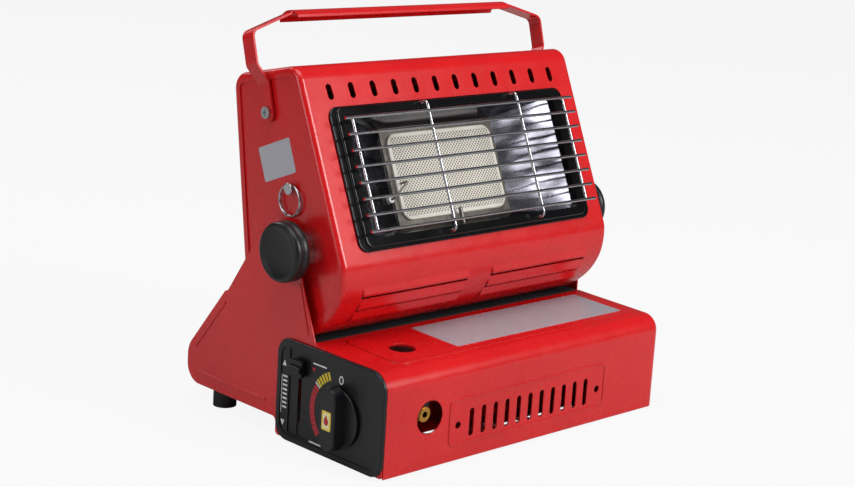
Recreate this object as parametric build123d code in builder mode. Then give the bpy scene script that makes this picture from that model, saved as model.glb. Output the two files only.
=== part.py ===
"""Portable propane heater: box with can bay, tilting head, carrying handle. Millimetres, +Z up."""
import os
from math import atan2, cos, hypot, radians, sin

from build123d import *

os.makedirs("parts", exist_ok=True)

# ---------------------------------------------------------------- driving dimensions
sheet = 1.0                # steel sheet of box, brackets and head
half_length = 142.5        # box, from its middle to either end
half_depth = 107.5         # overall, middle to the front; depth "d" below is counted from the front
reach = half_length + 16.5 # outer faces of the angle knobs, from the middle
floor_z = 2.0              # underside of the bay tray, on its pads
box_front_z = 73.6         # door top at its front edge, before rounding
box_rear_z = 76.0          # door top at its rear edge
door_depth = 80.0
tilt_d, tilt_z = 98.0, 139.0        # tilt axis of the head
face_tilt = 24.0           # head face, back from vertical
face_d, face_z = 59.5, 141.3        # foot of the window on the head face
head_half = half_length - 6.5       # head, middle to either side
window_mid = 52.0          # middle of window, reflector and plaque above the face origin
handle_d, handle_z = 140.5, 227.3   # handle screws
handle_lean = 16.0
hinge_d, hinge_z = 77.5, 72.4       # can door hinge
knob_d, knob_z = 43.5, 34.0         # control knob
lever_d = 86.0             # gas lever slot
lever_slot = 1.7           # half its width
slot_low, slot_top = 17.5, 63.5
can_d, can_z = 42.0, 38.5           # axis of the cartridge bay

bolt_r = 3.0               # clamp bolts of the tilt

# named clearances
running = 0.05             # radial, a pin turning in its bore
slide_gap = 0.3            # between sheets that pass each other
bolt_hole = 0.1            # radial, bolt in sheet


# ---------------------------------------------------------------- planes
def side(x):
    """Plane across the object at X = x; sketch axes are depth d and height z."""
    return Plane(origin=(x, -half_depth, 0), x_dir=(0, 1, 0), z_dir=(1, 0, 0))


def level(z):
    """Level plane at height z; sketch axes are X and depth d."""
    return Plane(origin=(0, -half_depth, z))


def upright(d):
    """Upright plane at depth d, looking out of the front; sketch axes are X and z."""
    return Plane(origin=(0, d - half_depth, 0), x_dir=(1, 0, 0), z_dir=(0, -1, 0))


def leaning(angle, d, z, out=0.0):
    """Plane leaning back by angle through (d, z), moved out along its normal."""
    n = Vector(0, -cos(radians(angle)), sin(radians(angle)))
    return Plane(origin=Vector(0, d - half_depth, z) + n * out, x_dir=(1, 0, 0), z_dir=n)


def face(out=0.0):
    """Plane of the head face, moved out of the head; sketch axes are X and s, up the face."""
    return leaning(face_tilt, face_d, face_z, out)


def grip(out=0.0):
    """Plane of the carrying handle; sketch axes are X and v, up the arms from the screws."""
    return leaning(handle_lean, handle_d, handle_z, out)


def on_face(x, s, out):
    """Point in the object's frame from head face coordinates."""
    return face(out).from_local_coords((x, s, 0))


def at(x, d, z):
    """Point in the object's frame from X, depth and height."""
    return Vector(x, d - half_depth, z)


# ---------------------------------------------------------------- small makers
def miter(path, t):
    """Path of (u, v) points moved to its left by t."""
    moved = []
    for i, (u, v) in enumerate(path):
        normals = []
        for a, b in ((i - 1, i), (i, i + 1)):
            if 0 <= a and b < len(path):
                du, dv = path[b][0] - path[a][0], path[b][1] - path[a][1]
                length = hypot(du, dv)
                normals.append((-dv / length, du / length))
        if len(normals) == 1:
            n, k = normals[0], t
        else:
            (a, b), (c, e) = normals
            n = ((a + c) / 2, (b + e) / 2)
            k = t / (n[0] ** 2 + n[1] ** 2)
        moved.append((u + n[0] * k, v + n[1] * k))
    return moved


def bent(path, t, bend):
    """Face of a bent sheet: one side's path, thickness to its left, inner bend radius."""
    other = miter(path, t)
    Polygon(*path, *reversed(other), align=None)
    for i in range(1, len(path) - 1):
        (u0, v0), (u1, v1), (u2, v2) = path[i - 1:i + 2]
        left_turn = (u1 - u0) * (v2 - v1) - (v1 - v0) * (u2 - u1) > 0
        outer, inner = (path[i], other[i]) if left_turn == (t > 0) else (other[i], path[i])
        round_at(outer, bend + abs(t))
        round_at(inner, bend)


def round_at(corner, radius):
    """Round the sketch vertex that sits at corner."""
    sketch = BuildSketch._get_context()
    near = sketch.vertices().sort_by(
        lambda v: (Vector(v.X, v.Y) - Vector(*corner)).length)[0]
    fillet(near, radius)


def outline(corners):
    """Closed outline from (u, v, radius) corners."""
    Polygon(*[(u, v) for u, v, _ in corners], align=None)
    for u, v, radius in corners:
        if radius:
            round_at((u, v), radius)


def rod(points, radius, bend):
    """Round bar or pipe through the points, bent by one radius at each inner point."""
    with BuildLine() as path:
        wire = FilletPolyline(*points, radius=bend) if len(points) > 2 else Line(*points)
    with BuildSketch(Plane(origin=wire @ 0, z_dir=wire % 0)) as section:
        Circle(radius)
    sweep(section.sketch, path=path.line)


def disc(plane, centre, radius, height):
    """Add a round block standing on plane."""
    with BuildSketch(plane) as section:
        with Locations(centre):
            Circle(radius)
    extrude(section.sketch, amount=height)


def bore(plane, centre, radius, depth):
    """Cut a round hole from plane along its normal."""
    with BuildSketch(plane) as section:
        with Locations(centre):
            Circle(radius)
    extrude(section.sketch, amount=depth, mode=Mode.SUBTRACT)


def slab(plane, u0, u1, v0, v1, height, mode=Mode.ADD, corner=0.0):
    """Add or cut a straight block between u0..u1 and v0..v1 of plane."""
    with BuildSketch(plane) as section:
        with Locations(((u0 + u1) / 2, (v0 + v1) / 2)):
            if corner:
                RectangleRounded(u1 - u0, v1 - v0, corner)
            else:
                Rectangle(u1 - u0, v1 - v0)
    extrude(section.sketch, amount=height, mode=mode)


def save(part, name):
    """Label a part and write its STEP file."""
    part.label = name
    export_step(part, "parts/" + name + ".step")


# ================================================================ BODY: base
# ---------------------------------------------------------------- bay tray
tray_left, tray_right = -half_length + sheet, half_length - 2.0
tray_corner = 5.2          # inside the door's rounded end
wall_d = 84.0              # front face of the wall behind the bay
gas_x, gas_z = -half_length + 20.5, 45.0         # gas pipe through the rear wall
lead_x, lead_z = -half_length + 57.5, 24.0        # ignition lead through the rear wall
lever_room = 7.0           # cut back at the left end for the gas lever
with BuildPart() as bay_tray:
    with BuildSketch(level(floor_z)):
        outline([(tray_left, 2, 0), (tray_right, 2, tray_corner), (tray_right, wall_d + sheet, 0),
                 (tray_left, wall_d + sheet, 0)])
    extrude(amount=sheet)
    slab(upright(2 + sheet), tray_left, tray_right - tray_corner, floor_z, 8, sheet)
    slab(upright(wall_d + sheet), tray_left, tray_right, floor_z, 70, sheet)
    slab(side(tray_right - sheet), 12, wall_d + sheet, floor_z, 66, sheet)
    bore(upright(wall_d + 5), (gas_x, gas_z), 6, 10)
    bore(upright(wall_d + 5), (lead_x, lead_z), 4, 10)
    slab(side(tray_left - 1), wall_d - 1, wall_d + 2, floor_z + sheet, 71, lever_room, Mode.SUBTRACT)
    with BuildSketch(level(floor_z - 1)):
        with Locations((0, 42)):
            with GridLocations(30, 18, 6, 2):
                SlotOverall(20, 5)
    extrude(amount=4, mode=Mode.SUBTRACT)
save(bay_tray.part, "bay_tray")

# ---------------------------------------------------------------- side plates with tilt brackets
rear_d = 216.0             # rearmost edge of the brackets
plate_low = 14.5           # their lower edge behind the box
rib = 0.6                  # height of the pressed ribs
plate_gap = 1.6            # of the plate's edge behind the panel's lever slot


def bracket_top():
    """Corners of the bracket from its rear lower edge, over the top, for both plates."""
    return [(rear_d, plate_low, 14), (rear_d, 40.8, 18), (174.3, 92.3, 1), (171.0, 93.6, 1),
            (114.0, 177.0, 19)]


with BuildPart() as left_side_plate:
    with BuildSketch(side(-half_length)):
        outline([(112, plate_low, 4)] + bracket_top()
                + [(73.0, 77.0, 3), (0.6, box_front_z, 12), (0.6, floor_z, 2), (112, floor_z, 3)])
    extrude(amount=sheet)
    with BuildSketch(side(-half_length)):
        with Locations((87.3, 99.0)):
            SlotOverall(36, 3.4, rotation=72.3)
    extrude(amount=-rib)
    with BuildSketch(side(-half_length)):
        with Locations((164, 24)):
            SlotOverall(80, 2.4)
        with Locations((190.5, 63.5)):
            SlotOverall(54, 2.4, rotation=129.2)
    extrude(amount=-rib)
    bore(side(-half_length - 2), (tilt_d, tilt_z), bolt_r + bolt_hole, 5)
    bore(side(-half_length - 2), (knob_d, knob_z), 6, 5)
    slab(side(-half_length - 2), lever_d - lever_slot - plate_gap, lever_d + lever_slot + plate_gap,
         slot_low - sheet, slot_top + sheet, 5, Mode.SUBTRACT)
save(left_side_plate.part, "left_side_plate")

with BuildPart() as right_side_plate:
    with BuildSketch(side(half_length - sheet)):
        outline([(86, plate_low, 3)] + bracket_top() + [(86.0, 134.0, 12)])
    extrude(amount=sheet)
    with BuildSketch(side(half_length)):
        with Locations((164, 24)):
            SlotOverall(80, 2.4)
        with Locations((190.5, 63.5)):
            SlotOverall(54, 2.4, rotation=129.2)
    extrude(amount=rib)
    bore(side(half_length - 3), (tilt_d, tilt_z), bolt_r + bolt_hole, 5)
save(right_side_plate.part, "right_side_plate")

# ---------------------------------------------------------------- rear body sheet
body_low = plate_low + 1.0
with BuildPart() as rear_sheet:
    with BuildSketch(side(-half_length + sheet)):
        bent([(wall_d + sheet, body_low), (rear_d - 1, body_low), (rear_d - 1, 40.4),
              (172.4, 92.4)], sheet, 10)
    extrude(amount=2 * (half_length - sheet))
    with BuildSketch(Plane(origin=at(0, rear_d - 22, 68), x_dir=(1, 0, 0), z_dir=(0, 0.77, 0.64))):
        with GridLocations(34, 9, 6, 3):
            SlotOverall(24, 4)
    extrude(amount=25, both=True, mode=Mode.SUBTRACT)
save(rear_sheet.part, "rear_sheet")

# ---------------------------------------------------------------- deck under the head
deck_z = 74.5              # top of the deck
pipe_d, lead_d = 124.0, 131.0       # where pipe and lead rise through it
with BuildPart() as heat_deck:
    with BuildSketch(side(-half_length + sheet)):
        bent([(170.6, 90.4), (150, deck_z), (wall_d + 2 * sheet, deck_z),
              (wall_d + 2 * sheet, 56)], sheet, 1.5)
    extrude(amount=2 * (half_length - sheet))
    bore(level(deck_z - 3), (gas_x, pipe_d), 5, 6)
    bore(level(deck_z - 3), (lead_x, lead_d), 3, 6)
    slab(side(tray_left - 1), wall_d, 95, 50, 70, lever_room, Mode.SUBTRACT)
save(heat_deck.part, "heat_deck")

# ---------------------------------------------------------------- black control panel
panel_out = -half_length - 2.5      # outer face of its rim
panel_front, panel_rear = -1.0, 110.0
panel_low, panel_top = 1.6, 75.6
panel_rim, panel_deep = 4.5, 0.7
channel, channel_deep = 11.0, 1.5   # half width and depth of the lever's channel
with BuildPart() as control_panel:
    with BuildSketch(side(-half_length)):
        outline([(panel_front, panel_low, 12), (panel_rear, panel_low, 12), (panel_rear, panel_top, 12),
                 (panel_front, panel_top, 14)])
    extrude(amount=panel_out + half_length)
    fillet(control_panel.faces().sort_by(Axis.X)[0].edges(), 1.2)
    with BuildSketch(side(panel_out)):
        outline([(panel_front + panel_rim, panel_low + panel_rim, 9),
                 (panel_rear - panel_rim, panel_low + panel_rim, 9),
                 (panel_rear - panel_rim, panel_top - panel_rim, 9),
                 (panel_front + panel_rim, panel_top - panel_rim, 11)])
    extrude(amount=panel_deep, mode=Mode.SUBTRACT)
    slab(side(panel_out), lever_d - channel, lever_d + channel, 7.5, 69.5, channel_deep, Mode.SUBTRACT, 1.5)
    slab(side(panel_out), lever_d - lever_slot, lever_d + lever_slot, 8.5, slot_top,
         channel_deep + 0.6, Mode.SUBTRACT)
    slab(side(panel_out - 1), lever_d - lever_slot, lever_d + lever_slot, slot_low, slot_top, 5,
         Mode.SUBTRACT)
    bore(side(panel_out - 1), (knob_d, knob_z), 5, 5)
save(control_panel.part, "control_panel")

# ---------------------------------------------------------------- regulator and gas inlet
reg_left, reg_right = -half_length + 5.5, -half_length + 54.5
shaft_r = 3.0
with BuildPart() as regulator:
    slab(side(reg_left), 26, 60, 20, 58, reg_right - reg_left, corner=6)
    disc(upright(26), ((reg_left + reg_right) / 2, can_z), 17, 3)
    disc(upright(67), (gas_x, gas_z), 6, 8)
    bore(side(reg_left - 1), (knob_d, knob_z), shaft_r + running, 20)
    bore(side(reg_right - 10), (can_d, can_z), 9, 12)
    bore(upright(68), (gas_x, gas_z), 3 + running, 8)
save(regulator.part, "regulator")

with BuildPart() as regulator_bracket:
    slab(level(floor_z + sheet), reg_left + 9, reg_right - 10, 20, 64, 1.5)
    slab(upright(62), reg_left + 9, reg_left + 27, floor_z + sheet, 32, 1.5)
    slab(upright(25.8), reg_left + 29, reg_right - 4, floor_z + sheet, 18.5, 1.5)
save(regulator_bracket.part, "regulator_bracket")

with BuildPart() as cartridge_socket:
    disc(side(reg_right), (can_d, can_z), 20, 8)
    bore(side(reg_right - 1), (can_d, can_z), 14, 12)
    slab(side(reg_right + 3), can_d - 3, can_d + 3, can_z + 12, can_z + 22, 6, Mode.SUBTRACT)
save(cartridge_socket.part, "cartridge_socket")

inlet_x, inlet_z = reg_right - 12.5, 38.5
with BuildPart() as gas_inlet:
    with BuildSketch(upright(23)):
        with Locations((inlet_x, inlet_z)):
            RegularPolygon(7.5, 6)
    extrude(amount=5)
    disc(upright(18), (inlet_x, inlet_z), 4.6, 13)
    for k in range(4):
        disc(upright(16 - 3 * k), (inlet_x, inlet_z), 5.4, 1.5)
    bore(upright(24), (inlet_x, inlet_z), 2.2, 21)
save(gas_inlet.part, "gas_inlet")

# ---------------------------------------------------------------- cartridge cradle
cradle_left, cradle_right, cradle_w = -30.0, half_length - 47.5, 10.0
with BuildPart() as cartridge_cradle:
    slab(level(floor_z + sheet), cradle_left, cradle_right, 34, 50, sheet)
    for x in (cradle_left, cradle_right - cradle_w):
        with BuildSketch(side(x)):
            outline([(16, floor_z + 2 * sheet, 0), (68, floor_z + 2 * sheet, 0), (68, 16, 2), (16, 16, 2)])
            with Locations((can_d, can_z)):
                Circle(33.8, mode=Mode.SUBTRACT)
        extrude(amount=cradle_w)
save(cartridge_cradle.part, "cartridge_cradle")

# ---------------------------------------------------------------- piezo igniter and its lead
piezo_d, piezo_z = 68.0, lead_z
piezo_left, piezo_long, tip_long = -half_length + 3.5, 30.0, 5.0
with BuildPart() as piezo_igniter:
    disc(side(piezo_left), (piezo_d, piezo_z), 6, piezo_long)
    disc(side(piezo_left + piezo_long), (piezo_d, piezo_z), 3.5, tip_long)
save(piezo_igniter.part, "piezo_igniter")

lead_r = 1.3
connector_x = lead_x + 6.0
with BuildPart() as ignition_lead:
    rod([at(piezo_left + piezo_long + tip_long, piezo_d, piezo_z), at(lead_x, piezo_d, lead_z),
         at(lead_x, lead_d, lead_z), at(lead_x, lead_d, tilt_z), at(lead_x, tilt_d, tilt_z),
         at(connector_x + 4, tilt_d, tilt_z)], lead_r, 7)
save(ignition_lead.part, "ignition_lead")

# ---------------------------------------------------------------- gas pipe up to the tilt axis
pipe_r = 3.0
union_x = gas_x + 12.0
with BuildPart() as gas_pipe:
    rod([at(gas_x, 61, gas_z), at(gas_x, pipe_d, gas_z), at(gas_x, pipe_d, tilt_z),
         at(gas_x, tilt_d, tilt_z), at(union_x + 5.5, tilt_d, tilt_z)], pipe_r, 12)
save(gas_pipe.part, "gas_pipe")

# ---------------------------------------------------------------- feet
foot_x = half_length - 13.5
with BuildPart() as rubber_feet:
    for x in (-foot_x, foot_x):
        disc(level(0), (x, 187), 8.7, body_low)
        disc(level(0), (x, 14), 7, floor_z)
save(rubber_feet.part, "rubber_feet")

# ---------------------------------------------------------------- hinges of the can door, fixed half
knuckle_r, hinge_pin_r = 2.0, 1.2
hinge_mid = half_length - 30.5
with BuildPart() as hinge_brackets:
    for s in (-1, 1):
        x0 = min(s * (hinge_mid + 0.2), s * (hinge_mid + 14))
        disc(side(x0), (hinge_d, hinge_z), knuckle_r, 13.8)
        slab(level(hinge_z - knuckle_r), x0, x0 + 13.8, hinge_d - 0.4, wall_d, sheet)
        slab(upright(wall_d), x0, x0 + 13.8, 58, hinge_z - knuckle_r + sheet, sheet)
        bore(side(x0 - 1), (hinge_d, hinge_z), hinge_pin_r, 16)
save(hinge_brackets.part, "hinge_brackets")

with BuildPart() as hinge_pins:
    for s in (-1, 1):
        disc(side(min(s * (hinge_mid - 13), s * (hinge_mid + 14))), (hinge_d, hinge_z), hinge_pin_r, 27)
save(hinge_pins.part, "hinge_pins")

# ================================================================ BODY: can door
door_low = 1.6
slot_pitch, slot_z = 11.9, 27.0
door_round = 7.0           # rounded right end of the door
door_left = -half_length + sheet + slide_gap


def round_right_end(radius):
    """Round the front and top edges of the part's right end."""
    end = BuildPart._get_context().part.faces().sort_by(Axis.X)[-1]
    fillet(end.edges().filter_by(lambda e: e.center().Z > door_low + 1
                                 and e.center().Y < door_depth - half_depth - 1), radius)


with BuildPart() as door_hollow:
    with BuildSketch(side(door_left - 1)):
        outline([(sheet, door_low - 1, 0), (door_depth + 1, door_low - 1, 0),
                 (door_depth + 1, box_rear_z - sheet, 0), (sheet, box_front_z - sheet, 12)])
    extrude(amount=half_length - sheet - door_left + 1)
    round_right_end(door_round - sheet)

with BuildPart() as can_door:
    with BuildSketch(side(door_left)):
        outline([(0, door_low, 0), (door_depth, door_low, 0), (door_depth, box_rear_z, 0),
                 (0, box_front_z, 13)])
    extrude(amount=half_length - door_left)
    round_right_end(door_round)
    add(door_hollow.part, mode=Mode.SUBTRACT)
    # raised panel on top
    with BuildSketch(Plane(origin=at(7, 44, 74.92), x_dir=(1, 0, 0), z_dir=(0, -0.03, 1))):
        RectangleRounded(2 * half_length - 35, 58, 9)
    extrude(amount=0.7)
    # pressed frame around the slots
    with BuildSketch(upright(0)):
        with Locations((0, 29.5)):
            RectangleRounded(163, 34, 5)
            RectangleRounded(159, 30, 4, mode=Mode.SUBTRACT)
    extrude(amount=0.5)
    with BuildSketch(upright(3)):
        with Locations((0, slot_z)):
            with GridLocations(slot_pitch, 1, 11, 1):
                SlotOverall(20.5, 4.4, rotation=90)
        for x in (-72.6, 72.6):
            with Locations((x, slot_z)):
                Circle(2.6)
        with Locations((inlet_x, inlet_z - 0.5)):
            Circle(12)
    extrude(amount=8, mode=Mode.SUBTRACT)
    bore(level(70), (reg_right - 4, 40), 9.5, 10)
save(can_door.part, "can_door")

with BuildPart() as hinge_leaves:
    for s in (-1, 1):
        x0 = min(s * (hinge_mid - 13), s * hinge_mid)
        disc(side(x0), (hinge_d, hinge_z), knuckle_r, 13)
        with BuildSketch(side(x0)):
            outline([(60, 73.4, 0), (hinge_d, hinge_z + 0.8, 0), (hinge_d, 74.85, 0), (60, 74.35, 0)])
        extrude(amount=13)
        bore(side(x0 - 1), (hinge_d, hinge_z), hinge_pin_r + running, 15)
save(hinge_leaves.part, "hinge_leaves")

with BuildPart() as door_label:
    with BuildSketch(Plane(origin=at(33, 46.5, 75.72), x_dir=(1, 0, 0), z_dir=(0, -0.03, 1))):
        RectangleRounded(2 * half_length - 109, 48, 2)
    extrude(amount=0.15)
save(door_label.part, "door_label")

# ================================================================ BODY: control knob
dial_out = panel_out - 2.0          # face of the disc
bar_out = panel_out - 10.5          # face of the bar across it
with BuildPart() as control_knob:
    disc(side(dial_out), (knob_d, knob_z), 21, -dial_out + panel_out - 0.4)
    fillet(control_knob.faces().sort_by(Axis.X)[0].edges(), 0.7)
    with BuildSketch(side(dial_out)) as bar_foot:
        with Locations((knob_d, knob_z)):
            SlotOverall(46, 16.4, rotation=90)
    with BuildSketch(side(bar_out)) as bar_head:
        with Locations((knob_d, knob_z)):
            SlotOverall(44.5, 14.6, rotation=90)
    loft()
    fillet(control_knob.faces().sort_by(Axis.X)[0].edges(), 1.2)
    bore(side(dial_out + 6), (knob_d, knob_z), shaft_r + running, -8)
save(control_knob.part, "control_knob")

with BuildPart() as knob_shaft:
    disc(side(dial_out - 1.5), (knob_d, knob_z), shaft_r, reg_left - dial_out + 19)
save(knob_shaft.part, "knob_shaft")

with BuildPart() as knob_badge:
    slab(side(bar_out), knob_d - 4.6, knob_d + 4.6, 26.7, 40.3, -0.2, corner=1)
save(knob_badge.part, "knob_badge")

# ================================================================ BODY: gas lever
lever_out, lip_out = panel_out - 3.5, panel_out - 6.0
thumb_half = 6.5           # half width of the thumb piece
with BuildPart() as gas_lever:
    slab(side(lever_out), lever_d - thumb_half, lever_d + thumb_half, 52, 64,
         panel_out - lever_out - slide_gap, corner=1.5)
    slab(side(lip_out), lever_d - thumb_half, lever_d + thumb_half, 55.5, 60, lever_out - lip_out + 1,
         corner=1.2)
    fillet(gas_lever.faces().sort_by(Axis.X)[0].edges(), 1.0)
    slab(side(panel_out - 1), lever_d - 1.4, lever_d + 1.4, 54.5, 63, 9)
    slab(side(-half_length + 1.6), lever_d - 8, lever_d + 8, 54, 66, 2)
save(gas_lever.part, "gas_lever")

# ================================================================ BODY: head
# ---------------------------------------------------------------- outer shape of the head
def along(s, out):
    """Depth and height of a point given in head face coordinates."""
    p = on_face(0, s, out)
    return (p.Y + half_depth, p.Z)


rear_low = (161.7, 106.0)
rear_top = (182.8, 248.3)
front_top = along(134.1, 0)
belly = [along(-5.7, 0), (55.8, 124.5), (57.6, 112.8), (62.4, 102.2), (69.4, 92.9), (78.5, 84.8),
         (88.0, 78.6)]
face_down = (-sin(radians(face_tilt)), -cos(radians(face_tilt)))
under = (1, -0.6)           # direction of the underside where the belly ends


def head_shape(inset, corner):
    """Side view of the head, drawn in by inset; corner is the radius at the top."""
    moved = miter([front_top, *belly, rear_low, rear_top, front_top, belly[0]], inset)[1:-1]
    curved, (low, top, front) = moved[:len(belly)], moved[len(belly):]
    with BuildLine() as rim:
        curve = Spline(*curved, tangents=[face_down, under])
        Polyline(curve @ 1, low, top, front, curve @ 0)
    make_face(rim.edges())
    round_at(top, corner)
    round_at(front, corner)


belly_curve = Spline(*belly, tangents=[face_down, under])


def belly_at(z):
    """Point on the rounded underside at height z, and its upward unit tangent."""
    low, high = 0.0, 1.0
    for _ in range(40):
        mid = (low + high) / 2
        if (belly_curve @ mid).Y > z:
            low = mid
        else:
            high = mid
    p, t = belly_curve @ low, belly_curve % low
    return (p.X, p.Y), (-t.X, -t.Y)


# ---------------------------------------------------------------- head wrap
edge_round = 4.0           # rounded edges between face and sides
flange = 7.0               # wrap folded over the side panels
window_half, window_low, window_high = head_half - 26.0, 5.0, 99.0
louvre_rows = (110.5, 100.3, 91.3)
louvre_left, louvre_right, louvre_w = 21.0 - head_half, 12.0, head_half - 33.0
slot_count, slot_share = 12, 0.1845
tilt_point = face().to_local_coords(at(0, tilt_d, tilt_z))
tilt_s, tilt_out = tilt_point.Y, tilt_point.Z       # tilt axis in head face coordinates


def rear_face(out=0.0):
    """Plane of the head's rear wall, moved out to the rear; v runs up the wall."""
    lean = atan2(rear_top[0] - rear_low[0], rear_top[1] - rear_low[1])
    n = Vector(0, cos(lean), -sin(lean))
    return Plane(origin=at(0, *rear_low) + n * out, x_dir=(-1, 0, 0), z_dir=n)


with BuildPart() as head_core:
    with BuildSketch(side(-head_half + sheet)):
        head_shape(sheet, 12 - sheet)
    extrude(amount=2 * (head_half - sheet))
    for end in (0, -1):
        fillet(head_core.faces().sort_by(Axis.X)[end].edges(), edge_round - sheet)

with BuildPart() as head_wrap:
    with BuildSketch(side(-head_half)):
        head_shape(0, 12)
    extrude(amount=2 * head_half)
    for end in (0, -1):
        fillet(head_wrap.faces().sort_by(Axis.X)[end].edges(), edge_round)
    add(head_core.part, mode=Mode.SUBTRACT)
    # openings of the side panels, the underside and the rear wall
    with BuildSketch(side(-head_half - 1)):
        head_shape(flange, 5)
    extrude(amount=2 * head_half + 2, mode=Mode.SUBTRACT)
    with BuildSketch(side(8 - head_half)):
        outline([(91, 70, 0), (170, 70, 0), (170, 100, 0), (157, 108.6, 0), (91, 83.6, 0)])
    extrude(amount=2 * (head_half - 8), mode=Mode.SUBTRACT)
    slab(rear_face(-3), 14 - head_half, head_half - 14, 12, 126, 6, Mode.SUBTRACT, 4)
    # window and the row of slots above it
    slab(face(-3), -window_half, window_half, window_low, window_high, 6, Mode.SUBTRACT, 5)
    with BuildSketch(face(-3)):
        with Locations((0, 114)):
            with GridLocations(slot_share * window_half, 1, slot_count, 1):
                SlotOverall(11.5, 5.2, rotation=94)
    extrude(amount=6, mode=Mode.SUBTRACT)
    # louvres: a slit below a pressed hood
    for z in louvre_rows:
        (d, zz), (td, tz) = belly_at(z)
        nd, nz = -tz, td
        (fd, fz), (ftd, ftz) = belly_at(z + 7)
        hood = [(d + a * td + b * nd, zz + a * tz + b * nz)
                for a, b in ((2.4, 1.2), (0.7, 1.2), (0.7, -0.3), (2.4, -0.3))]
        hood += [(fd + b * ftz, fz - b * ftd) for b in (0.9, 0.1)]
        slit = [(d + a * td + b * nd, zz + a * tz + b * nz)
                for a, b in ((-2.2, 1), (-2.2, -3), (0.7, -3), (0.7, 1))]
        for x in (louvre_left, louvre_right):
            with BuildSketch(side(x)) as hood_section:
                Polygon(*hood, align=None)
            extrude(hood_section.sketch, amount=louvre_w)
            with BuildSketch(side(x)) as slit_section:
                Polygon(*slit, align=None)
            extrude(slit_section.sketch, amount=louvre_w, mode=Mode.SUBTRACT)
save(head_wrap.part, "head_wrap")

# ---------------------------------------------------------------- head side panels
panel_face = head_half - sheet      # outer face of the panels, behind the flange
rivet_d, rivet_z = 113.0, 178.6
for s, name in ((-1, "left"), (1, "right")):
    with BuildPart() as head_side:
        with BuildSketch(side(s * panel_face)):
            head_shape(4.3, 8)
        extrude(amount=-s * sheet)
        bore(side(s * panel_face - 3), (tilt_d, tilt_z), bolt_r + bolt_hole, 6)
        bore(side(s * panel_face - 3), (handle_d, handle_z), 2.45, 6)
        if s < 0:
            bore(side(s * panel_face - 3), (rivet_d, rivet_z), 1.6, 6)
    save(head_side.part, "head_side_" + name)

# ---------------------------------------------------------------- rear cover and its screws
cover = 1.2
cover_screws_at = [(u, v) for u in (10 - head_half, head_half - 10) for v in (18, 120)]
with BuildPart() as head_rear_cover:
    slab(rear_face(), 3 - head_half, head_half - 3, 5, 134, cover, corner=6)
    with BuildSketch(rear_face(-1)):
        with Locations((0, 66)):
            with GridLocations(76, 12, 3, 7):
                SlotOverall(60, 4)
    extrude(amount=4, mode=Mode.SUBTRACT)
save(head_rear_cover.part, "head_rear_cover")

with BuildPart() as cover_screws:
    for u, v in cover_screws_at:
        disc(rear_face(cover), (u, v), 3.2, 1.6)
        with BuildSketch(rear_face(cover + 1.0)) as cross:
            with Locations((u, v)):
                Rectangle(3.4, 0.7)
                Rectangle(0.7, 3.4)
        extrude(cross.sketch, amount=2, mode=Mode.SUBTRACT)
save(cover_screws.part, "cover_screws")

# ---------------------------------------------------------------- window frame
frame_high = 3.5
guard_mids = (-34.0, 58.0)
hook_low, hook_high = 5.5, 100.0
wire_r = 1.1
flange_high = 1.8
with BuildPart() as window_frame:
    slab(face(), -window_half - 8, window_half + 8, 0, 103, flange_high, corner=8)
    fillet(window_frame.faces().sort_by(Axis((0, 0, 0), face().z_dir))[-1].edges(), 0.8)
    slab(face(), -window_half - 3, window_half + 3, 2.4, 102, frame_high, corner=6)
    fillet(window_frame.faces().sort_by(Axis((0, 0, 0), face().z_dir))[-1].edges(), 1.4)
    slab(face(-sheet), slide_gap - window_half, window_half - slide_gap, 5.3, 98.7, sheet, corner=4.7)
    slab(face(-2), 5 - window_half, window_half - 5, 9, 97, 8, Mode.SUBTRACT, 5)
    for x in guard_mids:
        for v in (hook_low, hook_high):
            bore(face(frame_high + 1), (x, v), wire_r + running, -4)
save(window_frame.part, "window_frame")

# ---------------------------------------------------------------- wire guard
guard_out = 13.2
with BuildPart() as wire_guard:
    for i in range(8):
        disc(side(-window_half - 5), along(12.3 + 11.4 * i, guard_out), wire_r, 2 * window_half + 10)
    for x in (3 - window_half, window_half - 3):
        disc(Plane(origin=on_face(x, 11.2, guard_out - 2), z_dir=face().y_dir), (0, 0), wire_r, 82)
    for x in guard_mids:
        rod([on_face(x, hook_low, 1.0), on_face(x, hook_low, guard_out - 2),
             on_face(x, hook_high, guard_out - 2), on_face(x, hook_high, 1.0)], wire_r, 3)
save(wire_guard.part, "wire_guard")

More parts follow.
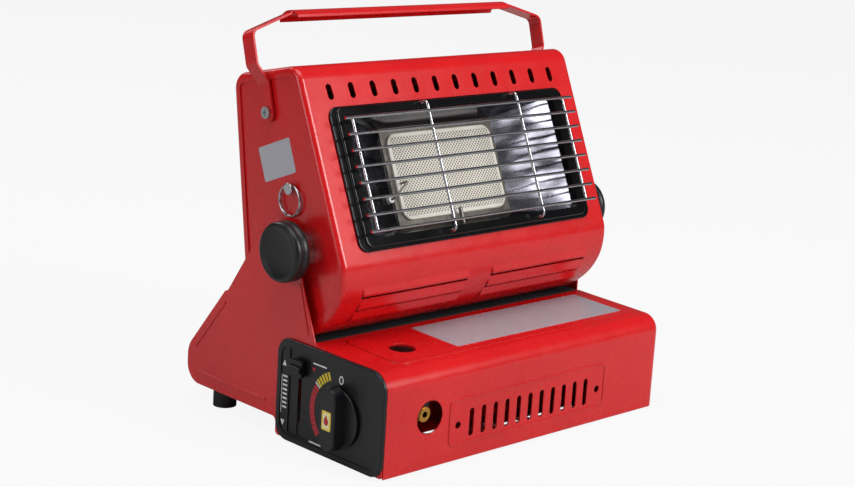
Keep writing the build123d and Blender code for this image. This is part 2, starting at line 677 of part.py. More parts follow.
# ---------------------------------------------------------------- reflector bowl
bowl_deep = 20.6
spark_x, spark_s = -half_length + 76.5, 36.0       # spark electrode
electrode_r, insulator_r = 0.8, 2.5
sensor_x, sensor_out, sensor_r = -1.0, -14.0, 1.6
plaque_w, plaque_h, plaque_t = 2 * head_half - 166.0, 64.0, 12.0
box_w, box_h, box_back = 2 * head_half - 148.0, 83.0, -46.0
mouth_w, mouth_h = 2 * window_half - 6.8, 89.2      # outside of the bowl at the window
bottom_w, bottom_h = box_w - 8.6, 74.4              # and at its bottom
with BuildPart() as reflector:
    slab(face(-sheet - 0.6), -window_half - 2, window_half + 2, window_mid - 48.5, window_mid + 48.5, 0.6)
    with BuildSketch(face(-sheet - 0.3)) as bowl_top:
        with Locations((0, window_mid)):
            Rectangle(mouth_w, mouth_h)
    with BuildSketch(face(-bowl_deep)) as bowl_foot:
        with Locations((0, window_mid)):
            Rectangle(bottom_w, bottom_h)
    loft([bowl_top.sketch, bowl_foot.sketch])
    with BuildSketch(face(-sheet + 0.1)) as hollow_top:
        with Locations((0, window_mid)):
            Rectangle(mouth_w + 0.2, mouth_h - 0.8)
    with BuildSketch(face(-bowl_deep - 0.1)) as hollow_foot:
        with Locations((0, window_mid)):
            Rectangle(bottom_w - 1.8, bottom_h - 1.4)
    loft([hollow_top.sketch, hollow_foot.sketch], mode=Mode.SUBTRACT)
    bore(face(-bowl_deep), (spark_x, spark_s), insulator_r, 15)
    bore(Plane(origin=on_face(sensor_x, 4, sensor_out), z_dir=face().y_dir), (0, 0), sensor_r, 20)
save(reflector.part, "reflector")

# ---------------------------------------------------------------- plaque, frame, gasket, burner box
plaque_out = -18.5         # front of the plaque
with BuildPart() as plaque:
    slab(face(plaque_out - plaque_t), -plaque_w / 2, plaque_w / 2, window_mid - plaque_h / 2,
         window_mid + plaque_h / 2, plaque_t, corner=9)
    fillet(plaque.faces().sort_by(Axis((0, 0, 0), face().z_dir))[-1].edges(), 1.0)
save(plaque.part, "plaque")

with BuildPart() as plaque_frame:
    slab(face(-bowl_deep - sheet), -box_w / 2, box_w / 2, window_mid - box_h / 2, window_mid + box_h / 2,
         sheet)
    slab(face(-bowl_deep - 3), -plaque_w / 2 - 0.3, plaque_w / 2 + 0.3, window_mid - plaque_h / 2 - 0.3,
         window_mid + plaque_h / 2 + 0.3, 5, Mode.SUBTRACT, 9.2)
save(plaque_frame.part, "plaque_frame")

box_front = -bowl_deep - sheet
with BuildPart() as plaque_gasket:
    slab(face(plaque_out - plaque_t), -box_w / 2 + sheet, box_w / 2 - sheet, window_mid - box_h / 2 + sheet,
         window_mid + box_h / 2 - sheet, box_front - plaque_out + plaque_t)
    slab(face(-40), -plaque_w / 2, plaque_w / 2, window_mid - plaque_h / 2, window_mid + plaque_h / 2,
         30, Mode.SUBTRACT, 9)
save(plaque_gasket.part, "plaque_gasket")

tube_r = 8.0
with BuildPart() as burner_box:
    slab(face(box_back), -box_w / 2, box_w / 2, window_mid - box_h / 2, window_mid + box_h / 2,
         box_front - box_back)
    slab(face(box_back + sheet), -box_w / 2 + sheet, box_w / 2 - sheet, window_mid - box_h / 2 + sheet,
         window_mid + box_h / 2 - sheet, 40, Mode.SUBTRACT)
    bore(side(-box_w / 2 - 1), along(window_mid, tilt_out), tube_r, 3)
save(burner_box.part, "burner_box")

tube_x = -box_w / 2 - 14.0
with BuildPart() as mixing_tube:
    disc(side(tube_x), along(window_mid, tilt_out), 10, 2)
    disc(side(tube_x), along(window_mid, tilt_out), tube_r, 14 + sheet)
    bore(side(tube_x - 1), along(window_mid, tilt_out), tube_r - 1, 20)
save(mixing_tube.part, "mixing_tube")

# ---------------------------------------------------------------- gas line in the head
with BuildPart() as swivel_union:
    with BuildSketch(side(union_x)):
        with Locations((tilt_d, tilt_z)):
            RegularPolygon(6.5, 6)
    extrude(amount=12)
    bore(side(union_x - 1), (tilt_d, tilt_z), pipe_r + running, 7)
    bore(side(union_x + 5), (tilt_d, tilt_z), 1.5, 8)
save(swivel_union.part, "swivel_union")

rise_x, inject_x = union_x + 18.0, tube_x - 4.0
with BuildPart() as head_gas_pipe:
    rod([on_face(union_x + 12, tilt_s, tilt_out), on_face(rise_x, tilt_s, tilt_out),
         on_face(rise_x, window_mid, tilt_out), on_face(inject_x, window_mid, tilt_out)], pipe_r, 5.5)
save(head_gas_pipe.part, "head_gas_pipe")

with BuildPart() as injector:
    with BuildSketch(side(inject_x)):
        with Locations(along(window_mid, tilt_out)):
            RegularPolygon(5, 6)
    extrude(amount=5)
    disc(side(inject_x + 5), along(window_mid, tilt_out), 2.5, 4)
    bore(side(inject_x - 1), along(window_mid, tilt_out), 0.8, 12)
save(injector.part, "injector")

# ---------------------------------------------------------------- ignition: connector, lead, electrode
with BuildPart() as lead_connector:
    disc(side(connector_x), (tilt_d, tilt_z), 2.6, 8)
    bore(side(connector_x - 1), (tilt_d, tilt_z), lead_r + running, 5)
save(lead_connector.part, "lead_connector")

spark_back, spark_front = -26.0, -13.0
with BuildPart() as head_lead:
    rod([on_face(connector_x + 8, tilt_s, tilt_out), on_face(spark_x, tilt_s, tilt_out),
         on_face(spark_x, spark_s, tilt_out), on_face(spark_x, spark_s, spark_back)], lead_r, 3.5)
save(head_lead.part, "head_lead")

with BuildPart() as electrode_insulator:
    disc(face(spark_back), (spark_x, spark_s), insulator_r, spark_front - spark_back)
    bore(face(spark_back + 4), (spark_x, spark_s), electrode_r, 20)
save(electrode_insulator.part, "electrode_insulator")

with BuildPart() as spark_electrode:
    rod([on_face(spark_x, spark_s, spark_back + 4), on_face(spark_x, spark_s, spark_front + 3),
         on_face(spark_x + 16, 47, spark_front + 3), on_face(spark_x + 16, 47, -17.5)], electrode_r, 2)
save(spark_electrode.part, "spark_electrode")

with BuildPart() as thermocouple:
    disc(Plane(origin=on_face(sensor_x, 4, sensor_out), z_dir=face().y_dir), (0, 0), sensor_r, 20)
    fillet(thermocouple.faces().sort_by(Axis.Z)[-1].edges(), 1.0)
save(thermocouple.part, "thermocouple")

# ---------------------------------------------------------------- small fittings on the head sides
with BuildPart() as weld_nuts:
    for s in (-1, 1):
        with BuildSketch(side(s * (panel_face - sheet))) as nut:
            with Locations((tilt_d, tilt_z)):
                RegularPolygon(6, 6)
        extrude(nut.sketch, amount=-s * 5)
        bore(side(s * panel_face - 12), (tilt_d, tilt_z), bolt_r + running, 24)
save(weld_nuts.part, "weld_nuts")

with BuildPart() as friction_washers:
    for s in (-1, 1):
        disc(side(s * panel_face), (tilt_d, tilt_z), 12, s * (half_length - sheet - panel_face - 0.1))
        bore(side(s * (panel_face + 3) - 6), (tilt_d, tilt_z), bolt_r + bolt_hole, 12)
save(friction_washers.part, "friction_washers")

arm_in = head_half + 0.4   # inner face of the handle's lower arms
strap = 1.6
with BuildPart() as handle_screws:
    for s in (-1, 1):
        disc(side(s * (arm_in + strap + 0.2)), (handle_d, handle_z), 4.3, s * 1.8)
        disc(side(s * (panel_face - 4)), (handle_d, handle_z), 2.45,
             s * (arm_in + strap + 0.4 - panel_face + 4))
        disc(side(s * (panel_face - sheet)), (handle_d, handle_z), 4.5, -s * 2.6)
        disc(side(s * panel_face), (handle_d, handle_z), 4.5, s * (arm_in - panel_face - 0.1))
        with BuildSketch(side(s * (arm_in + strap + 1.2))) as cross:
            with Locations((handle_d, handle_z)):
                Rectangle(4.4, 0.9)
                Rectangle(0.9, 4.4)
        extrude(cross.sketch, amount=s * 3, mode=Mode.SUBTRACT)
save(handle_screws.part, "handle_screws")

neck_r, rivet_high = 1.6, 4.9
with BuildPart() as ring_rivet:
    disc(side(-panel_face - rivet_high), (rivet_d, rivet_z), 4.2, 1.2)
    fillet(ring_rivet.faces().sort_by(Axis.X)[0].edges(), 0.6)
    disc(side(-panel_face - rivet_high), (rivet_d, rivet_z), neck_r, rivet_high + sheet)
    disc(side(-panel_face + sheet), (rivet_d, rivet_z), 3, 1)
save(ring_rivet.part, "ring_rivet")

with BuildPart() as side_label:
    with BuildSketch(side(-panel_face)):
        with Locations((131, 195.3)):
            RectangleRounded(35, 24.7, 1, rotation=-22)
    extrude(amount=-0.15)
save(side_label.part, "side_label")

# ================================================================ BODY: pull ring
ring_mid, ring_wire, ring_x = 10.9, 0.9, -panel_face - 2.3
ring_z = rivet_z - (ring_mid - ring_wire - neck_r - running)
with BuildPart() as pull_ring:
    with BuildSketch(level(ring_z)) as wire_section:
        with Locations((ring_x, rivet_d + ring_mid)):
            Circle(ring_wire)
    revolve(wire_section.sketch, axis=Axis((ring_x, rivet_d - half_depth, ring_z), (1, 0, 0)))
save(pull_ring.part, "pull_ring")

# ================================================================ BODY: carrying handle
arm_low, arm_out, handle_top = -6.5, arm_in + 9.6, 69.0
grip_half = head_half - 29.0
with BuildPart() as carry_handle:
    left = [(-arm_in - strap, arm_low), (-arm_in - strap, 21), (-arm_out, 33), (-arm_out, 57),
            (-grip_half - 11, handle_top - 3.5), (-grip_half + 1, handle_top)]
    with BuildSketch(grip()):
        bent(left + [(-x, v) for x, v in reversed(left)], -strap, 5)
    extrude(amount=6, both=True)
    for s in (-1, 1):
        ends = carry_handle.edges().filter_by(Axis.X).filter_by(
            lambda e: e.length < strap + 0.1 and e.center().X * s > 100 and e.center().Z < handle_z + 5)
        fillet(ends, 5.5)
    section = Plane(origin=grip().from_local_coords((-grip_half, handle_top, 0)),
                    x_dir=grip().z_dir, z_dir=(1, 0, 0))
    with BuildSketch(section) as grip_section:
        with Locations((0, 12.6)):
            Circle(14)
            Circle(12.6, mode=Mode.SUBTRACT)
        with Locations((0, 2.6)):
            Rectangle(21, 9, mode=Mode.INTERSECT)
    extrude(grip_section.sketch, amount=2 * grip_half)
    for s in (-1, 1):
        bore(side(s * (arm_in + 0.6) - 6), (handle_d, handle_z), 2.45 + running, 12)
save(carry_handle.part, "carry_handle")

# ================================================================ BODIES: angle knobs, left and right
knob_r, knob_in = 21.2, half_length + 4.0
for s, name in ((-1, "left"), (1, "right")):
    with BuildPart() as angle_knob:
        disc(side(s * knob_in), (tilt_d, tilt_z), knob_r, s * (reach - knob_in))
        rims = angle_knob.edges().filter_by(GeomType.CIRCLE)
        fillet(rims, 3.2)
        disc(side(s * (half_length + 0.3)), (tilt_d, tilt_z), 12, s * (knob_in - half_length + 1))
        bore(side(s * (half_length + 5) - 6), (tilt_d, tilt_z), bolt_r, 12)
    save(angle_knob.part, name + "_angle_knob")
    with BuildPart() as clamp_bolt:
        disc(side(s * (head_half - 8)), (tilt_d, tilt_z), bolt_r, s * (half_length - head_half + 19))
    save(clamp_bolt.part, name + "_clamp_bolt")
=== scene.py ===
from math import cos, pi, radians, sin

import bmesh
import bpy
from mathutils import Matrix, Vector


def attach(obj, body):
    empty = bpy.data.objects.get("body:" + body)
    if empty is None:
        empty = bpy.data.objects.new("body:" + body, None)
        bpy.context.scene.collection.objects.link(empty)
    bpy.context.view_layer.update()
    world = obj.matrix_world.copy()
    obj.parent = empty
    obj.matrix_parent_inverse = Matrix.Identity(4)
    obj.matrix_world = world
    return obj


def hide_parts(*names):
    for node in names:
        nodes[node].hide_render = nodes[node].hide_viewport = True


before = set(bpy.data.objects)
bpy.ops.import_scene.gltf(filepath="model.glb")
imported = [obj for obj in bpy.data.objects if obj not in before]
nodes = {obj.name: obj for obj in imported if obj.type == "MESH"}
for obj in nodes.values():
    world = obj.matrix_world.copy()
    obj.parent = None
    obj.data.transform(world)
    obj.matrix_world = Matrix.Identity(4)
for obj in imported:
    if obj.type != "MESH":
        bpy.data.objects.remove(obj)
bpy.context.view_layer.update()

scene = bpy.context.scene
mm = 0.001
depth_zero = -107.5 * mm       # Y of the front of the box; depths are counted from it


# ---------------------------------------------------------------- working tools
def srgb(text):
    """Linear colour of an sRGB hex value."""
    parts = [int(text[i:i + 2], 16) / 255 for i in (1, 3, 5)]
    return tuple(v / 12.92 if v <= 0.04045 else ((v + 0.055) / 1.055) ** 2.4 for v in parts) + (1,)


def put(name, data):
    """Object that shows the given data, linked into the scene."""
    thing = bpy.data.objects.new(name, data)
    scene.collection.objects.link(thing)
    return thing


def closed_piece(name, work, material):
    """Piece of one material from a closed bmesh, which it uses up."""
    bmesh.ops.recalc_face_normals(work, faces=work.faces)
    mesh = bpy.data.meshes.new(name)
    work.to_mesh(mesh)
    work.free()
    mesh.materials.append(material)
    return put(name, mesh)


def dress(material, *names):
    """Gives CAD nodes their material."""
    for name in names:
        nodes[name].data.materials.clear()
        nodes[name].data.materials.append(material)


def finish_named(name):
    """Empty node material."""
    material = bpy.data.materials.new(name)
    material.use_nodes = True
    material.node_tree.nodes.clear()
    return material


def add(material, kind, inputs=None, stops=None, **settings):
    """Adds one node with its settings; an input is a value or the output that feeds it."""
    node = material.node_tree.nodes.new("ShaderNode" + kind)
    for name, value in settings.items():
        setattr(node, name, value)
    if stops:
        while len(node.color_ramp.elements) < len(stops):
            node.color_ramp.elements.new(1)
        for element, (place, colour) in zip(node.color_ramp.elements, stops):
            element.position, element.color = place, colour
    for name, value in (inputs or {}).items():
        if isinstance(value, bpy.types.NodeSocket):
            material.node_tree.links.new(value, node.inputs[name])
        else:
            node.inputs[name].default_value = value
    return node


def noise(material, place, grain_mm, detail):
    """Noise from 0 to 1 with a grain of the given size."""
    return add(material, "TexNoise", {"Vector": place, "Scale": 1000 / grain_mm,
                                      "Detail": detail}).outputs["Fac"]


def two_tone(material, value, low, high):
    """Colour that runs from low to high, each a place on the scale and a linear colour."""
    return add(material, "ValToRGB", {"Fac": value}, stops=(low, high)).outputs["Color"]


def spread(material, value, low, high):
    """Value from 0 to 1 spread over low to high."""
    return add(material, "MapRange", {"Value": value, "To Min": low, "To Max": high}).outputs[0]


def worked(material, operation, *values):
    """Result of one step of arithmetic."""
    return add(material, "Math", dict(enumerate(values)), operation=operation).outputs[0]


def relief(material, height, strength, deep_mm, over=None):
    """Normal of a relief of the given depth, on top of another normal where one is given."""
    inputs = {"Height": height, "Strength": strength, "Distance": deep_mm * mm}
    if over:
        inputs["Normal"] = over
    return add(material, "Bump", inputs).outputs[0]


def surfaced(material, inputs):
    """Closes a material with its surface."""
    surface = add(material, "BsdfPrincipled", inputs)
    add(material, "OutputMaterial", {"Surface": surface.outputs[0]})
    return material


# ---------------------------------------------------------------- finishes
def enamel(name, colour, paler, drift_mm, peel, roughness, coat, coat_roughness,
           rub_mm=None, edge_mm=None):
    """Stoved gloss enamel on steel. Its tone drifts with the thickness of the paint, it has
    orange peel of 1.6 mm, and where asked it is rubbed in patches and rounds the edges."""
    material = finish_named(name)
    place = add(material, "TexCoord").outputs["Object"]
    drift = noise(material, place, drift_mm, 3.0)
    rubbed = noise(material, place, rub_mm, 4.0) if rub_mm else drift
    edges = add(material, "Bevel", {"Radius": edge_mm * mm}, samples=4).outputs[0] if edge_mm else None
    return surfaced(material, {
        "Base Color": two_tone(material, drift, (0.3, srgb(colour)), (0.7, srgb(paler))),
        "Roughness": spread(material, rubbed, *roughness), "IOR": 1.5,
        "Coat Weight": coat, "Coat Roughness": coat_roughness,
        "Normal": relief(material, noise(material, place, 1.6, 1.0), peel, 0.1, edges)})


def grained(name, colour, paler, grain_mm, roughness, bump):
    """Moulded or pressed material, or matt paint, with a grain of the given size."""
    material = finish_named(name)
    place = add(material, "TexCoord").outputs["Object"]
    drift = noise(material, place, 25, 3.0)
    return surfaced(material, {
        "Base Color": two_tone(material, drift, (0.3, srgb(colour)), (0.75, srgb(paler))),
        "Roughness": spread(material, drift, roughness - 0.05, roughness + 0.07), "IOR": 1.42,
        "Normal": relief(material, noise(material, place, grain_mm, 2.0), bump, 0.1)})


def metal(name, colour, paler, roughness, mark_and_streak_mm, stretch=(1, 1, 1), bump=0.05, bare=1.0,
          relief_mm=0.05, detail=4.0):
    """Bare or plated metal with handling marks of the given size, drawn out by stretch. On the reflector
    they are long streaks, and their dark and pale tones are painted reflection.
    """
    material = finish_named(name)
    place = add(material, "TexCoord").outputs["Object"]
    drawn = add(material, "Mapping", {"Vector": place, "Scale": stretch}).outputs[0]
    marks = noise(material, drawn, mark_and_streak_mm, detail)
    return surfaced(material, {
        "Base Color": two_tone(material, marks, (0.3, srgb(colour)), (0.7, srgb(paler))),
        "Metallic": bare, "Roughness": spread(material, marks, roughness * 0.75, roughness * 1.3),
        "Normal": relief(material, marks, bump, relief_mm)})


def ink(name, colour):
    """Pad-printing ink, a little uneven where it is thin."""
    material = finish_named(name)
    place = add(material, "TexCoord").outputs["Object"]
    full = srgb(colour)
    thin = tuple(v * 0.82 for v in full[:3]) + (1,)
    return surfaced(material, {
        "Base Color": two_tone(material, noise(material, place, 0.9, 2.0), (0.35, thin), (0.55, full)),
        "Roughness": 0.5, "IOR": 1.48})


# each is on pieces of several sections
red = enamel("red_stoved_enamel", "#C81015", "#D4161A", drift_mm=60, peel=0.12, roughness=(0.2, 0.34),
             coat=0.18, coat_roughness=0.08, rub_mm=14, edge_mm=0.7)
# grain of 0.6 mm is coarser than the real eighth of a millimetre, so that it shows
black_abs = grained("black_moulded_abs", "#111215", "#1A1B1E", grain_mm=0.6, roughness=0.36, bump=0.2)
zinc_plate = metal("bright_zinc_plate", "#B4B6B8", "#CDCFD2", roughness=0.25, mark_and_streak_mm=1.8)
brass = metal("turned_brass", "#B98A3A", "#D3A752", roughness=0.22, mark_and_streak_mm=0.7, stretch=(1, 6, 1))
drawn_aluminium = metal("drawn_aluminium_tube", "#A9ABAD", "#C2C4C6", roughness=0.32, mark_and_streak_mm=1.2)
chrome = metal("chromed_steel_wire", "#A6A7AB", "#BFC0C4", roughness=0.16, mark_and_streak_mm=1.2)
foil = metal("lacquered_aluminium_foil", "#B2B1BA", "#C9C9D1", roughness=0.4, mark_and_streak_mm=3.5,
             stretch=(1, 7, 7), bump=0.08, bare=0.45)
white_sleeve = grained("white_silicone_sleeve", "#CFCFCA", "#E2E2DD", grain_mm=0.8, roughness=0.45,
                       bump=0.1)
white_ink = ink("white_ink", "#E4E4E4")
red_ink = ink("red_ink", "#B3202C")
yellow_ink = ink("yellow_ink", "#E3C62E")
pale_ink = ink("pale_yellow_ink", "#F1E9B4")

# ---------------------------------------------------------------- where it stands
# The heater stands on a plain white sweep of card, in soft light from large panels:
# one in front to the right, one overhead, one behind and a weak one to the left.
eye = Vector((-0.9387, -0.9425, 0.4386))
sight = Vector((0.68423, 0.69199, -0.23019)).normalized()
camera_roll = radians(3.54)
level_right = sight.cross(Vector((0, 0, 1))).normalized()
level_up = level_right.cross(sight)
right = level_right * cos(camera_roll) + level_up * sin(camera_roll)
up = level_up * cos(camera_roll) - level_right * sin(camera_roll)
camera = put("camera", bpy.data.cameras.new("camera"))
camera.matrix_world = Matrix.Translation(eye) @ Matrix((right, up, -sight)).transposed().to_4x4()
camera.data.sensor_width = 36
camera.data.lens = 77.29
scene.camera = camera
scene.view_settings.view_transform = "Standard"

card_half = 9                  # metres, so that its edge is never seen
card_glow_share = 0.9          # of what the camera sees; everything else sees only the paint
floor_mesh = bpy.data.meshes.new("floor")
floor_mesh.from_pydata([(x * card_half, y * card_half, 0) for x, y in ((-1, -1), (1, -1), (1, 1), (-1, 1))],
                       [], [(0, 1, 2, 3)])
floor = put("floor", floor_mesh)
card = finish_named("white_card")
card_paint = add(card, "BsdfDiffuse", {"Color": srgb("#BFBFBF")})
card_glow = add(card, "Emission", {"Color": srgb("#FFFFFF"), "Strength": 1.0})
card_path = add(card, "LightPath")
card_mix = add(card, "MixShader", {
    0: worked(card, "MULTIPLY", card_path.outputs["Is Camera Ray"], card_glow_share),
    1: card_paint.outputs[0], 2: card_glow.outputs[0]})
add(card, "OutputMaterial", {"Surface": card_mix.outputs[0]})
floor_mesh.materials.append(card)

world = bpy.data.worlds.new("studio")
world.use_nodes = True
world.node_tree.nodes.clear()
scene.world = world
room_light = add(world, "Background", {"Color": srgb("#F2F4F6"), "Strength": 0.1})
room_white = add(world, "Background", {"Color": (1, 1, 1, 1), "Strength": 1.0})
room_path = add(world, "LightPath")
room_mix = add(world, "MixShader", {0: room_path.outputs["Is Camera Ray"],
                                    1: room_light.outputs[0], 2: room_white.outputs[0]})
add(world, "OutputWorld", {"Surface": room_mix.outputs[0]})


def light_panel(name, place, target, size, watts):
    """Soft rectangular lamp at place, facing target."""
    lamp = bpy.data.lights.new(name, "AREA")
    lamp.shape, lamp.size, lamp.size_y, lamp.energy = "RECTANGLE", *size, watts
    panel = put(name, lamp)
    panel.location = place
    panel.rotation_euler = (Vector(target) - Vector(place)).to_track_quat("-Z", "Y").to_euler()


light_panel("front_panel", (0.85, -2.1, 1.2), (0, 0, 0.12), (1.1, 1.0), 45)
light_panel("top_panel", (-0.2, -0.3, 1.9), (0, 0, 0.1), (1.6, 1.2), 22)
light_panel("left_panel", (-2.0, 0.2, 0.8), (0, 0, 0.14), (1.0, 1.0), 10)
light_panel("rear_panel", (-0.2, 2.0, 1.7), (0, 0, 0.14), (1.4, 0.8), 14)

# ---------------------------------------------------------------- base sheet metal
# Bay tray, two side plates with the tilt brackets, and rear sheet: pressed 1 mm
# steel, sprayed red and stoved. Gloss enamel with a faint orange-peel surface.
dress(red, "bay_tray", "left_side_plate", "right_side_plate", "rear_sheet")

# ---------------------------------------------------------------- control panel
# Black ABS moulding over the left end of the box. Satin, with a fine spark-eroded
# grain; the scale and marks are pad-printed, some hundredths of a millimetre thick.
dress(black_abs, "control_panel")

panel_x = -144.3 * mm          # floor of the panel, inside its rim
knob_d, knob_z = 43.5, 34      # the knob's axis, depth and height in millimetres
ink_thick = 0.06 * mm
ink_sunk = 0.02 * mm           # into the face, so that no gap shows


def printed(name, shapes, material, x, body, thick=ink_thick):
    """Print on a face that looks to -X: closed shapes of (depth, height) in millimetres."""
    work = bmesh.new()
    for shape in shapes:
        outer, inner = [[work.verts.new((px, depth_zero + d * mm, z * mm)) for d, z in shape]
                        for px in (x - thick, x + ink_sunk)]
        work.faces.new(outer)
        work.faces.new(inner[::-1])
        for i in range(len(shape)):
            j = (i + 1) % len(shape)
            work.faces.new((outer[i], inner[i], inner[j], outer[j]))
    piece = closed_piece(name, work, material)
    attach(piece, body)


def arc(d, z, radius_d, radius_z, start, end, steps):
    """Points along part of an ellipse, angles in degrees from the rear, upwards."""
    angles = [radians(start + (end - start) * i / steps) for i in range(steps + 1)]
    return [(d + radius_d * cos(a), z + radius_z * sin(a)) for a in angles]


def scale_marks(start, end, inner, outer, pitch=0.0, count=1):
    """Marks round the knob, the first from start to end and each a pitch further round."""
    return [arc(knob_d, knob_z, outer, outer, start + pitch * i, end + pitch * i, 5)
            + arc(knob_d, knob_z, inner, inner, start + pitch * i, end + pitch * i, 5)[::-1]
            for i in range(count)]


def bar(d, z, width, height):
    """Upright rectangle centred on (d, z)."""
    return [(d - width / 2, z - height / 2), (d + width / 2, z - height / 2),
            (d + width / 2, z + height / 2), (d - width / 2, z + height / 2)]


def arrow(d, foot_z, tip_z, width):
    """Upright triangle."""
    return [(d - width / 2, foot_z), (d + width / 2, foot_z), (d, tip_z)]


def zero(d, z, width, height, stroke):
    """The numeral 0, as two half rings."""
    return [arc(d, z, width / 2, height / 2, start, start + 180, 12)
            + arc(d, z, width / 2 - stroke, height / 2 - stroke, start, start + 180, 12)[::-1]
            for start in (-90, 90)]


printed("scale_red", scale_marks(-42, -35.2, 25.5, 30.3, pitch=7.6, count=10), red_ink, panel_x, "base")
printed("scale_yellow", scale_marks(39, 43.2, 25.3, 31.2, pitch=6.3, count=5), yellow_ink, panel_x, "base")
printed("scale_white", scale_marks(35, 37.4, 25.5, 31), white_ink, panel_x, "base")
printed("panel_marks_red", [arrow(71.2, 61.8, 58.6, 3.6)], red_ink, panel_x, "base")

short_rules = [bar(65.2, 64.9, 14, 1.0), bar(66.5, 8.2, 13, 1.0)]
lever_rule = bar(104.5, 34.5, 0.5, 28)
lever_arrows = [arrow(102.2, 55.4, 59.6, 4), arrow(102.2, 15.8, 11.6, 4)]
lever_ladder = [bar(101, 25.5 + 3.2 * i, 4.6, 1.3) for i in range(8)]
printed("panel_marks_white", zero(42.7, 60.4, 4.6, 6.2, 1.0) + short_rules + [lever_rule]
        + lever_arrows + lever_ladder, white_ink, panel_x, "base")

# ---------------------------------------------------------------- inside the box
# Pressure regulator with its can socket, bracket, cradle, brass inlet, igniter, lead
# and gas pipe: zinc castings and plated steel strip, bolted in before the door goes on.
dress(metal("die_cast_zinc", "#8F9092", "#A9AAAC", roughness=0.42, mark_and_streak_mm=2.5),
      "regulator", "cartridge_socket")
dress(zinc_plate, "regulator_bracket", "cartridge_cradle")
dress(brass, "gas_inlet")
dress(black_abs, "piezo_igniter")
dress(drawn_aluminium, "gas_pipe")
dress(white_sleeve, "ignition_lead")

# ---------------------------------------------------------------- heat deck
# Bent sheet over the back of the box, under the hot head: matt black heat-proof paint, whose black also
# serves as painted shade for the narrow gap under the head.
dress(grained("matt_black_paint_and_painted_shade", "#0C0C0D", "#161617", grain_mm=0.7, roughness=0.75, bump=0.3),
      "heat_deck")

# ---------------------------------------------------------------- feet
# Pressed from black rubber, matt and a little dusty.
dress(grained("black_pressed_rubber", "#19191A", "#2B2B2B", grain_mm=0.9, roughness=0.72, bump=0.4),
      "rubber_feet")

# ---------------------------------------------------------------- can door and its hinges
# Lift-up front and top of the box, pressed from the same sheet and enamelled with it,
# on two plated hinges; a blank foil sticker lies on its raised panel.
dress(zinc_plate, "hinge_brackets", "hinge_pins", "hinge_leaves")
dress(red, "can_door")
dress(foil, "door_label")

# ---------------------------------------------------------------- gas control knob
# Turned by the bar across its face: black ABS on a plated shaft, with a yellow inlay
# that carries a small flame sign.
dress(black_abs, "control_knob")
dress(zinc_plate, "knob_shaft")
dress(grained("yellow_moulded_inlay", "#D9B81E", "#EDD24A", grain_mm=0.5, roughness=0.3, bump=0.08),
      "knob_badge")
badge_x = -155.7 * mm          # outer face of the inlay
flame = [(43.4, 30), (41.8, 31), (41.1, 32.8), (41.7, 34.6), (42.7, 35.8), (43.1, 37.8),
         (44.5, 36.2), (45.5, 34.6), (45.8, 32.6), (45, 30.9)]
printed("badge_field", [bar(43.5, 33.5, 6.6, 11)], pale_ink, badge_x, "control_knob")
printed("flame_sign", [flame], red_ink, badge_x - ink_thick, "control_knob", thick=0.05 * mm)

# ---------------------------------------------------------------- gas lever
# Black ABS thumb piece on the rod that pushes the can into its socket.
dress(black_abs, "gas_lever")

# ---------------------------------------------------------------- head shell
# Wrap, side panels and rear cover: pressed steel, the first two enamelled red with
# the box and the slotted cover black; plated self-tapping screws hold the cover.
dress(red, "head_wrap", "head_side_left", "head_side_right")
dress(enamel("black_stoved_enamel", "#131416", "#1C1D20", drift_mm=30, peel=0.1, roughness=(0.16, 0.28),
             coat=0.4, coat_roughness=0.06), "head_rear_cover")
dress(zinc_plate, "cover_screws", "weld_nuts", "friction_washers")

# ---------------------------------------------------------------- window frame and wire guard
# The frame is a black enamelled pressing. The guard is spot-welded from 2.2 mm steel
# wire and bright chromed; its two middle wires hook into the frame.
dress(grained("black_frame_enamel", "#070709", "#0C0D0F", grain_mm=1.6, roughness=0.12, bump=0.06),
      "window_frame")
dress(chrome, "wire_guard")

# ---------------------------------------------------------------- reflector and burner
# Bright stainless bowl behind the window, buckled by heat in waves that run to the sides,
# then the burner box with its clamping frame, and a fibre gasket.
# The bowl's colour is painted dark, in darker and paler streaks along the waves: painted reflection, over
# the real relief of the waves.
dress(metal("rolled_stainless_with_painted_reflection", "#535259", "#75747D", roughness=0.12, mark_and_streak_mm=36,
            stretch=(0.5, 2.6, 2.6), bump=0.5, relief_mm=2.0, detail=0.6), "reflector")
dress(metal("heat_tinted_stainless", "#57524C", "#6E6963", roughness=0.36, mark_and_streak_mm=5), "plaque_frame")
dress(metal("aluminised_steel", "#7C7A77", "#8E8C89", roughness=0.45, mark_and_streak_mm=4),
      "burner_box", "mixing_tube")
dress(grained("pressed_ceramic_fibre", "#B9B3A4", "#CFC9BB", grain_mm=1.0, roughness=0.85, bump=0.6),
      "plaque_gasket")

# ---------------------------------------------------------------- ceramic plaque
# Pierced by rows of flame holes at 45 degrees, up to a plain border; the holes are only in the colour and
# the bump, and are painted dark brown as painted shade inside them.
face_tilt = radians(24)        # of the head's face, back from vertical
face_foot = Vector((0, depth_zero + 59.5 * mm, 141.3 * mm))    # lower edge of the window
field_up = 52 * mm             # middle of the holes, up the face from its foot
field_half = (50.5 * mm, 29.5 * mm)                            # across, and up the face
border_blur = 0.5 * mm
hole_pitch = 2.1               # millimetres, over the real 1.6, so that they show
hole_edge = (0.26, 0.38)       # shares of the pitch where a hole's edge starts and ends

ceramic = finish_named("pierced_ceramic")
place = add(ceramic, "TexCoord").outputs["Object"]
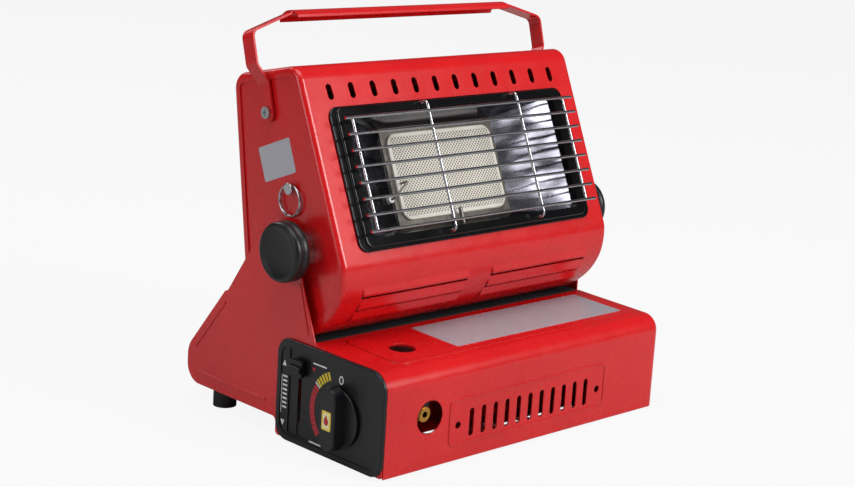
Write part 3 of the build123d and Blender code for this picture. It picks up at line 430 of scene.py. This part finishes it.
# from the heater's frame to (across, up the face, out of the face)
from_foot = add(ceramic, "VectorMath", {0: place, 1: face_foot}, operation="SUBTRACT").outputs[0]
on_face = add(ceramic, "VectorRotate", {"Vector": from_foot, "Angle": face_tilt - radians(90)},
              rotation_type="X_AXIS").outputs[0]
across_holes = add(ceramic, "Mapping", {"Vector": on_face, "Rotation": (0, 0, pi / 4),
                                        "Scale": (1000 / hole_pitch,) * 3})
holes = add(ceramic, "TexVoronoi", {"Vector": across_holes.outputs[0], "Scale": 1.0, "Randomness": 0.0},
            voronoi_dimensions="2D", feature="F1")
beside_holes = add(ceramic, "MapRange", {"Value": holes.outputs["Distance"], "From Min": hole_edge[0],
                                         "From Max": hole_edge[1]})
apart = add(ceramic, "SeparateXYZ", {0: on_face})
off_middle = [worked(ceramic, "ABSOLUTE", apart.outputs[0]),
              worked(ceramic, "ABSOLUTE", worked(ceramic, "SUBTRACT", apart.outputs[1], field_up))]
past_field = worked(ceramic, "MAXIMUM", *[worked(ceramic, "SUBTRACT", off, half)
                                          for off, half in zip(off_middle, field_half)])
border = add(ceramic, "MapRange", {"Value": past_field, "From Min": -border_blur, "From Max": 0.0})
solid = worked(ceramic, "MAXIMUM", beside_holes.outputs[0], border.outputs[0])
pale = two_tone(ceramic, noise(ceramic, place, 18, 3.0), (0.3, srgb("#E9E3D6")), (0.7, srgb("#F4F0E6")))
# dark brown where the holes are: painted shade inside them
tone = add(ceramic, "Mix", {"Factor": solid, 6: srgb("#5A5145"), 7: pale}, data_type="RGBA")
surfaced(ceramic, {"Base Color": tone.outputs[2], "Roughness": 0.85, "IOR": 1.45,
                   "Normal": relief(ceramic, solid, 0.6, 0.4)})
dress(ceramic, "plaque")

# ---------------------------------------------------------------- gas and spark to the burner
# Brass union on the tilt axis, pipe and injector; lead, porcelain and wire of the
# spark electrode; sheathed flame sensor below the plaque.
dress(brass, "swivel_union", "injector", "lead_connector")
dress(drawn_aluminium, "head_gas_pipe")
dress(white_sleeve, "head_lead")
dress(grained("glazed_porcelain", "#E1DDD2", "#EFECE4", grain_mm=1.5, roughness=0.18, bump=0.03),
      "electrode_insulator")
dress(metal("heat_resisting_wire", "#6F6B66", "#8C8883", roughness=0.35, mark_and_streak_mm=0.8),
      "spark_electrode", "thermocouple")

# ---------------------------------------------------------------- ring, rivet and side sticker
# Plated ring hanging from a rivet on the left side panel, under a blank foil sticker.
dress(chrome, "pull_ring")
dress(zinc_plate, "ring_rivet")
dress(foil, "side_label")

# ---------------------------------------------------------------- carrying handle
# Flat steel strap with a rolled grip, enamelled red with the rest, on two
# cross-headed shoulder screws.
dress(red, "carry_handle")
dress(zinc_plate, "handle_screws")

# ---------------------------------------------------------------- angle knobs
# One on each end of the tilt axis: a dished black ABS disc moulded on a plated bolt,
# with a groove round its rim.
dress(black_abs, "left_angle_knob", "right_angle_knob")
dress(zinc_plate, "left_clamp_bolt", "right_clamp_bolt")
tilt_y, tilt_z = depth_zero + 98 * mm, 139 * mm
knob_sides = 96
knob_crease = radians(50)
# (distance from the middle of the heater, radius) in millimetres, from the rim to the face's middle
knob_profile = [(142.9, 12), (146.6, 12), (146.7, 19.2), (147.4, 20.6), (148.6, 21.15), (152.4, 21.2),
                (152.9, 20.7), (153.4, 20.7), (153.9, 21.2), (156.6, 21.1), (158.2, 20.4), (158.95, 19.0),
                (158.8, 17.6), (158.1, 16.4), (157.4, 12), (157.0, 6), (156.9, 0)]
for name, sense in (("left_angle_knob", -1), ("right_angle_knob", 1)):
    work = bmesh.new()
    rings = [[work.verts.new((sense * x * mm, tilt_y + r * mm * cos(2 * pi * i / knob_sides),
                              tilt_z + r * mm * sin(2 * pi * i / knob_sides)))
              for i in range(knob_sides)] for x, r in knob_profile[:-1]]
    tip = work.verts.new((sense * knob_profile[-1][0] * mm, tilt_y, tilt_z))
    for lower, upper in zip(rings, rings[1:]):
        for i in range(knob_sides):
            j = (i + 1) % knob_sides
            work.faces.new((lower[i], lower[j], upper[j], upper[i]))
    for i in range(knob_sides):
        work.faces.new((rings[-1][i], rings[-1][(i + 1) % knob_sides], tip))
    work.faces.new(rings[0][::-1])
    knob = closed_piece("dished_" + name, work, black_abs)
    knob.data.shade_smooth()
    knob.data.set_sharp_from_angle(angle=knob_crease)
    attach(knob, name)
    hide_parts(name)
